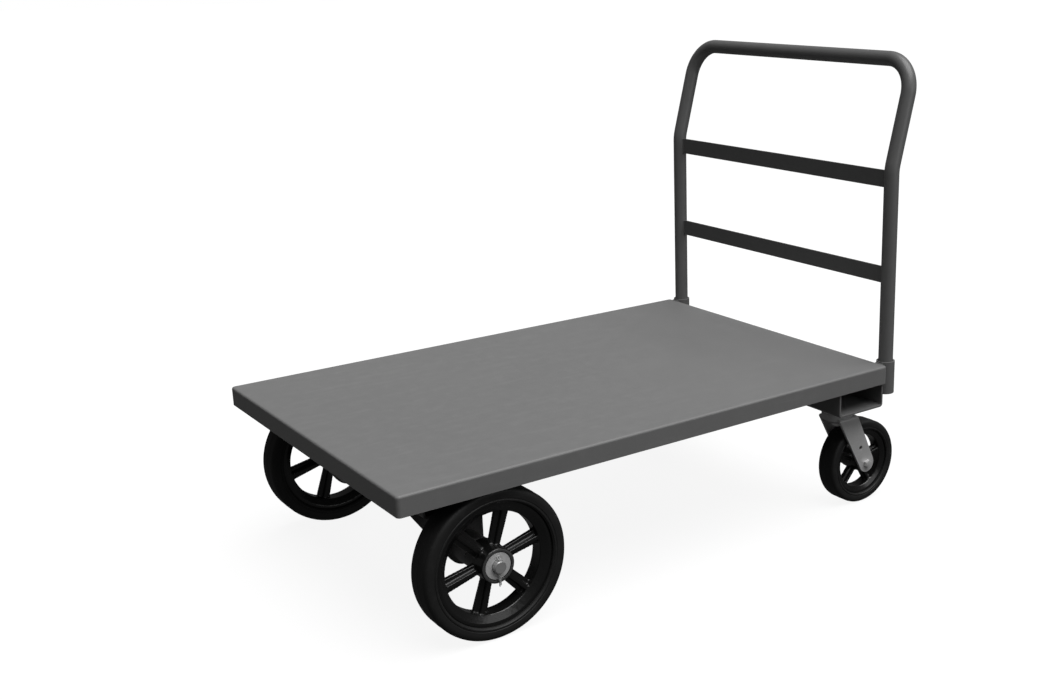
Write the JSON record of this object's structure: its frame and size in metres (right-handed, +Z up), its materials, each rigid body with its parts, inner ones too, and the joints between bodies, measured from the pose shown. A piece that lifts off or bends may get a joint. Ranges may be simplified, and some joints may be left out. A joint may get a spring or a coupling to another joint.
{
  "type": "platform cart",
  "caption": "Flat steel deck cart on two large spoked front wheels and two swivel casters, with a leaning tubular push handle standing in sockets at the rear.",
  "frame": {"origin": "on the floor under the middle of the whole cart's bounding box", "axes": "+X towards the handle end, +Y to the right of someone pushing the cart, +Z up"},
  "size_m": [1.3176, 0.8128, 1.0373],
  "materials": {
    "deck_paint": "smooth grey baked enamel, light orange peel",
    "frame_paint": "grey baked enamel over welded steel",
    "handle_paint": "grey baked enamel on steel pipe",
    "rubber": "moulded black rubber, satin",
    "wheel_iron": "cast iron with glossy black enamel",
    "zinc_steel": "zinc plated, satin",
    "bare_steel": "machined steel, lightly oiled"
  },
  "bodies": {
    "chassis": {"deck_pan": "deck_paint", "deck_stiffener": "frame_paint", "axle_channel": "frame_paint", "caster_channel": "frame_paint", "axle": "bare_steel", "axle_hanger_left": "frame_paint", "axle_boss_left": "frame_paint", "handle_socket_left": "frame_paint", "inner_washer_left": "zinc_steel", "outer_washer_left": "zinc_steel", "cotter_pin_left": "zinc_steel", "caster_plate_left": "zinc_steel", "kingpin_left": "zinc_steel", "kingpin_nut_left": "zinc_steel", "ball_retainer_left": "bare_steel", "axle_hanger_right": "frame_paint", "axle_boss_right": "frame_paint", "handle_socket_right": "frame_paint", "inner_washer_right": "zinc_steel", "outer_washer_right": "zinc_steel", "cotter_pin_right": "zinc_steel", "caster_plate_right": "zinc_steel", "kingpin_right": "zinc_steel", "kingpin_nut_right": "zinc_steel", "ball_retainer_right": "bare_steel"},
    "handle": {"handle_tube": "handle_paint", "upper_crossbar": "handle_paint", "lower_crossbar": "handle_paint"},
    "front_wheel_left": {"front_tyre_left": "rubber", "front_wheel_core_left": "wheel_iron", "front_bearing_race_left": "bare_steel", "front_roller_cage_left": "bare_steel"},
    "caster_fork_left": {"caster_fork_left": "zinc_steel", "swivel_balls_left": "bare_steel", "caster_axle_bolt_left": "zinc_steel", "caster_axle_nut_left": "zinc_steel", "caster_axle_bushing_left": "bare_steel"},
    "caster_wheel_left": {"caster_tyre_left": "rubber", "caster_wheel_core_left": "wheel_iron", "caster_roller_cage_left": "bare_steel"},
    "front_wheel_right": {"front_tyre_right": "rubber", "front_wheel_core_right": "wheel_iron", "front_bearing_race_right": "bare_steel", "front_roller_cage_right": "bare_steel"},
    "caster_fork_right": {"caster_fork_right": "zinc_steel", "swivel_balls_right": "bare_steel", "caster_axle_bolt_right": "zinc_steel", "caster_axle_nut_right": "zinc_steel", "caster_axle_bushing_right": "bare_steel"},
    "caster_wheel_right": {"caster_tyre_right": "rubber", "caster_wheel_core_right": "wheel_iron", "caster_roller_cage_right": "bare_steel"}
  },
  "joints": [
    {"name": "handle_lift", "type": "slide", "parent": "chassis", "child": "handle", "axis": [0, 0, 1], "range_m": [0, 0.1]},
    {"name": "front_wheel_left_roll", "type": "hinge", "parent": "chassis", "child": "front_wheel_left", "pos_m": [-0.4592, -0.364, 0.1524], "axis": [0, 1, 0], "continuous": true},
    {"name": "caster_left_swivel", "type": "hinge", "parent": "chassis", "child": "caster_fork_left", "pos_m": [0.4862, -0.3239, 0.234], "axis": [0, 0, 1], "continuous": true},
    {"name": "caster_left_roll", "type": "hinge", "parent": "caster_fork_left", "child": "caster_wheel_left", "pos_m": [0.551, -0.3239, 0.1], "axis": [0, 1, 0], "continuous": true},
    {"name": "front_wheel_right_roll", "type": "hinge", "parent": "chassis", "child": "front_wheel_right", "pos_m": [-0.4592, 0.364, 0.1524], "axis": [0, 1, 0], "continuous": true},
    {"name": "caster_right_swivel", "type": "hinge", "parent": "chassis", "child": "caster_fork_right", "pos_m": [0.4862, 0.3239, 0.234], "axis": [0, 0, 1], "continuous": true},
    {"name": "caster_right_roll", "type": "hinge", "parent": "caster_fork_right", "child": "caster_wheel_right", "pos_m": [0.551, 0.3239, 0.1], "axis": [0, 1, 0], "continuous": true}
  ]
}
